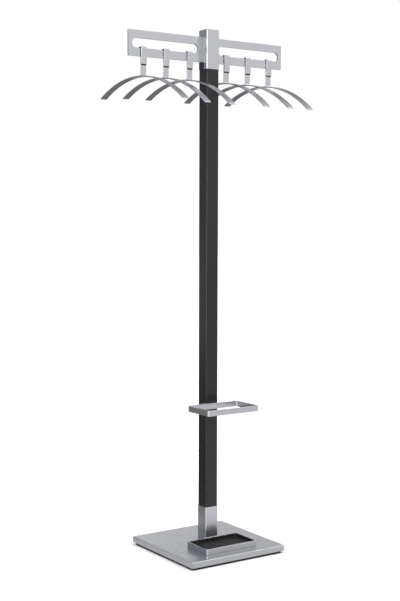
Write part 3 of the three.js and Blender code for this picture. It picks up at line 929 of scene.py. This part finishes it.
def build_hanger(number, x, lean, turn):
    """One hanger, which leans and turns about the lower edge of the slot, at the rail's front."""
    rail_low, rail_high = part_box("rail")
    pivot = Vector((x, rail_low.y, rail_low.z + SLOT_BOTTOM))
    turned_round = Matrix.Rotation(math.radians(turn), 4, "Z")
    place = Matrix.Translation(pivot) @ turned_round @ Matrix.Rotation(math.radians(lean), 4, "X")
    liner_front = SLOT_BOTTOM * math.tan(MOST_LEAN) + HANGER_SLACK
    liner_back = rail_high.y - rail_low.y + HANGER_SLACK
    front = -(liner_front + LINER_THICKNESS + GAP)
    back = liner_back + LINER_THICKNESS + GAP
    stem_front = GAP - liner_front
    stem_back = stem_front + STRIP_THICKNESS
    arms_place = Matrix.Translation((0, (stem_front + stem_back) / 2, -HANGER_APEX))
    sloped = place @ arms_place @ Matrix.Rotation(ARM_TILT, 4, "X")
    name = f"hanger_{number}_"
    add_strip(name + "saddle", saddle_outline(front, back, GAP + LINER_THICKNESS + GAP), STRIP_WIDTH,
              STRIP_ROUNDING, place, SILVER)
    # the liner lines the saddle; its black edges seen beside the rail and below the saddle's leg are also
    # painted shade
    add_strip(name + "liner", liner_outline(front, back, liner_front, liner_back), STRIP_WIDTH,
              LINER_ROUNDING, place, PLASTIC, 2)
    add_strip(name + "stem", stem_outline(stem_front, stem_back), STRIP_WIDTH,
              STRIP_ROUNDING, place, SILVER)
    add_strip(name + "arms", arms_outline(), ARM_WIDTH, ARM_ROUNDING, sloped, SILVER)


build_mat()
build_cover()
build_post()
build_keeper()
build_cap()
build_rail()
build_hoop()
build_tray()
build_insert()
for hanger_number, hanger_pose in enumerate(HANGERS, 1):
    build_hanger(hanger_number, *hanger_pose)

# Nodes that keep their CAD shape
KEPT = {
    "ballast_plate": ZINC, "base_washer": ZINC, "base_bolt": ZINC, "post_insert": ZINC, "base_board": BOARD,
    "rail_core": PLASTIC, "rail_clamp": PLASTIC, "rail_bolt_1": ZINC, "rail_bolt_2": ZINC,
    "hoop_screw_1": ZINC, "hoop_screw_2": ZINC, "tray_screw_1": ZINC, "tray_screw_2": ZINC,
}
for kept_number in range(1, len(HANGERS) + 1):
    KEPT[f"hanger_{kept_number}_rivet"] = ZINC
for kept_node, kept_material in KEPT.items():
    kept_mesh = frame["nodes"][kept_node].data
    kept_mesh.materials.clear()
    kept_mesh.materials.append(kept_material)


# ---------------------------------------------------------------- camera, floor and light
def make_camera():
    """A long lens at the photo's viewing angle."""
    data = bpy.data.cameras.new("camera")
    data.sensor_width = SENSOR
    data.lens = LENS
    data.clip_end = VIEW_REACH
    camera = bpy.data.objects.new("camera", data)
    bpy.context.scene.collection.objects.link(camera)
    forward = Vector((math.sin(CAMERA_YAW), math.cos(CAMERA_YAW), 0.0))
    right = Vector((math.cos(CAMERA_YAW), -math.sin(CAMERA_YAW), 0.0))
    camera.location = -forward * CAMERA_DISTANCE + right * CAMERA_SIDE + Vector((0.0, 0.0, CAMERA_HEIGHT))
    camera.rotation_euler = Euler((QUARTER + CAMERA_PITCH, CAMERA_ROLL, -CAMERA_YAW), "XYZ")
    bpy.context.scene.camera = camera


def make_floor():
    """A pale floor that the camera sees white with a painted glow, which fades out near the base into a
    painted shadow round it, and that the rack mirrors with darker stretches, one of them a painted shade
    round the base.
    """
    mesh = bpy.data.meshes.new("floor")
    bm = bmesh.new()
    bmesh.ops.create_grid(bm, x_segments=1, y_segments=1, size=FLOOR_REACH)
    bm.to_mesh(mesh)
    bm.free()
    floor = bpy.data.objects.new("floor", mesh)
    bpy.context.scene.collection.objects.link(floor)
    paint = Paint("pale floor")
    place = paint.coordinates.outputs["Object"]
    spot = paint.node("ShaderNodeVectorMath", Vector=place)
    spot.operation = "DISTANCE"
    spot.inputs[1].default_value = DIM_PATCH
    near = paint.spread(spot.outputs["Value"], 0.0, 1.0, *DIM_REACH)
    near.node.interpolation_type = "SMOOTHSTEP"
    tone = paint.mix(near, DIM_FLOOR, BRIGHT_FLOOR)
    distance = paint.node("ShaderNodeVectorMath", Vector=place)
    distance.operation = "LENGTH"
    # painted shade: the mirrored floor round the base is held at one darker grey
    tone = paint.mix(paint.spread(distance.outputs["Value"], 0.0, 1.0, *BASE_SHADE_REACH), BASE_SHADE_FLOOR, tone)
    bounce = paint.node("ShaderNodeBsdfDiffuse", Color=tone)
    seen = paint.node("ShaderNodeBsdfDiffuse", Color=(0.95, 0.95, 0.95, 1))
    # painted light: a glow that fades out near the base into a painted contact shadow
    glow = paint.node("ShaderNodeEmission")
    paint.feed(glow.inputs["Strength"], paint.spread(distance.outputs["Value"], 0.0, FLOOR_GLOW, *GLOW_REACH))
    lifted = paint.nodes.new("ShaderNodeAddShader")
    choice = paint.nodes.new("ShaderNodeMixShader")
    path = paint.nodes.new("ShaderNodeLightPath")
    paint.links.new(seen.outputs[0], lifted.inputs[0])
    paint.links.new(glow.outputs[0], lifted.inputs[1])
    paint.links.new(path.outputs["Is Camera Ray"], choice.inputs["Fac"])
    paint.links.new(bounce.outputs[0], choice.inputs[1])
    paint.links.new(lifted.outputs[0], choice.inputs[2])
    paint.links.new(choice.outputs[0], paint.nodes["Material Output"].inputs["Surface"])
    paint.nodes.remove(paint.shader)
    mesh.materials.append(paint.material)


def make_world():
    """Walls that the camera sees white and the rack mirrors with two darker sides."""
    world = bpy.data.worlds.new("studio")
    world.use_nodes = True
    nodes = world.node_tree.nodes
    links = world.node_tree.links
    background = nodes["Background"]
    coordinates = nodes.new("ShaderNodeTexCoord")
    walls = None
    for tone, side, reach in ((DARK_WALL, DARK_SIDE, DARK_REACH), (DIM_WALL, DIM_SIDE, DIM_SIDE_REACH)):
        towards = nodes.new("ShaderNodeVectorMath")
        towards.operation = "DOT_PRODUCT"
        towards.inputs[1].default_value = Vector(side).normalized()
        links.new(coordinates.outputs["Generated"], towards.inputs[0])
        shade = nodes.new("ShaderNodeMapRange")
        shade.interpolation_type = "SMOOTHSTEP"
        shade.inputs["From Min"].default_value = reach[0]
        shade.inputs["From Max"].default_value = reach[1]
        links.new(towards.outputs["Value"], shade.inputs["Value"])
        mix = nodes.new("ShaderNodeMix")
        mix.data_type = "RGBA"
        mix.inputs["A"].default_value = (*BRIGHT_WALL, 1)
        mix.inputs["B"].default_value = (*tone, 1)
        if walls:
            links.new(walls, mix.inputs["A"])
        links.new(shade.outputs["Result"], mix.inputs["Factor"])
        walls = mix.outputs["Result"]
    path = nodes.new("ShaderNodeLightPath")
    seen = nodes.new("ShaderNodeMix")
    seen.data_type = "RGBA"
    seen.inputs["B"].default_value = (1, 1, 1, 1)
    links.new(path.outputs["Is Camera Ray"], seen.inputs["Factor"])
    links.new(walls, seen.inputs["A"])
    links.new(seen.outputs["Result"], background.inputs["Color"])
    bpy.context.scene.world = world


def add_softbox(name, place, target, width, height, power, mirrored=True):
    """A rectangular light that faces a point. Reflections show it only if it is mirrored."""
    data = bpy.data.lights.new(name, "AREA")
    data.shape = "RECTANGLE"
    data.size = width
    data.size_y = height
    data.energy = power
    light = bpy.data.objects.new(name, data)
    bpy.context.scene.collection.objects.link(light)
    light.location = place
    light.rotation_euler = (Vector(target) - Vector(place)).to_track_quat("-Z", "Y").to_euler()
    light.visible_camera = False
    light.visible_glossy = mirrored


make_camera()
make_floor()
make_world()
add_softbox("key", (-2.9, -1.9, 1.6), RACK_MIDDLE, width=1.4, height=2.6, power=55.0)
add_softbox("top", (0.3, -0.6, 3.4), RACK_MIDDLE, width=3.0, height=3.0, power=28.0, mirrored=False)
add_softbox("fold light", (2.4, -1.2, 4.0), RACK_LOWER, width=1.2, height=1.2, power=22.0)

bpy.context.scene.view_settings.view_transform = "Standard"
